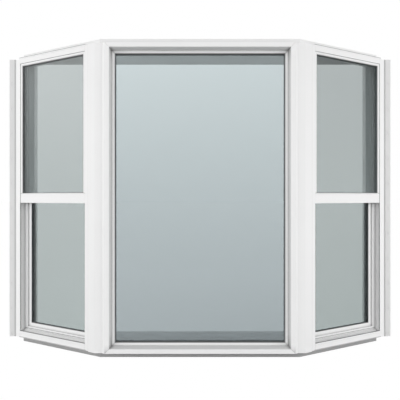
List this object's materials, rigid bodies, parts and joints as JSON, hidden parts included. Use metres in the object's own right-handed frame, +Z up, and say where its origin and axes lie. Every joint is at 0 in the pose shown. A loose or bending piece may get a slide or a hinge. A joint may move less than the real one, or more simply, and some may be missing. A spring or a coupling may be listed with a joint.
{
  "type": "upvc bay window",
  "caption": "White uPVC bay window: a fixed picture window between angled single-hung flankers, with corner posts, head and seat boards, wall jambs and nail fins.",
  "frame": {"origin": "on the underside of the seat board, midway between the flankers, in the plane of the wall's outer face where the nail fins lie", "axes": "+X along the wall to the right seen from outdoors, +Y from outdoors into the room, +Z up"},
  "size_m": [2.0668, 0.4029, 1.55],
  "materials": {
    "upvc_white": "satin white extruded uPVC",
    "board_white": "matt white foil-faced board",
    "fin_white": "thin plain extruded uPVC fin",
    "tinted_glass": "clear float glass with a faint grey-green tint",
    "spacer_bar": "mill-finish spacer bar",
    "lock_white": "white powder-coated zinc"
  },
  "bodies": {
    "root": {"head_board": "board_white", "seat_board": "board_white", "picture_frame_head": "upvc_white", "picture_frame_sill": "upvc_white", "picture_frame_left_jamb": "upvc_white", "picture_frame_right_jamb": "upvc_white", "picture_beads": "upvc_white", "picture_outer_pane": "tinted_glass", "picture_inner_pane": "tinted_glass", "picture_spacer": "spacer_bar", "left_wall_jamb": "board_white", "left_nail_fin": "fin_white", "left_corner_post": "upvc_white", "left_post_cover": "upvc_white", "left_frame_head": "upvc_white", "left_frame_sill": "upvc_white", "left_frame_outer_jamb": "upvc_white", "left_frame_inner_jamb": "upvc_white", "left_upper_sash_stiles": "upvc_white", "left_upper_sash_top_rail": "upvc_white", "left_meeting_rail": "upvc_white", "left_upper_glass": "tinted_glass", "left_lower_sash_stiles": "upvc_white", "left_lower_sash_rails": "upvc_white", "left_lower_glass": "tinted_glass", "left_glass_spacers": "spacer_bar", "left_sash_lock": "lock_white", "right_wall_jamb": "board_white", "right_nail_fin": "fin_white", "right_corner_post": "upvc_white", "right_post_cover": "upvc_white", "right_frame_head": "upvc_white", "right_frame_sill": "upvc_white", "right_frame_outer_jamb": "upvc_white", "right_frame_inner_jamb": "upvc_white", "right_upper_sash_stiles": "upvc_white", "right_upper_sash_top_rail": "upvc_white", "right_meeting_rail": "upvc_white", "right_upper_glass": "tinted_glass", "right_lower_sash_stiles": "upvc_white", "right_lower_sash_rails": "upvc_white", "right_lower_glass": "tinted_glass", "right_glass_spacers": "spacer_bar", "right_sash_lock": "lock_white"}
  },
  "joints": []
}
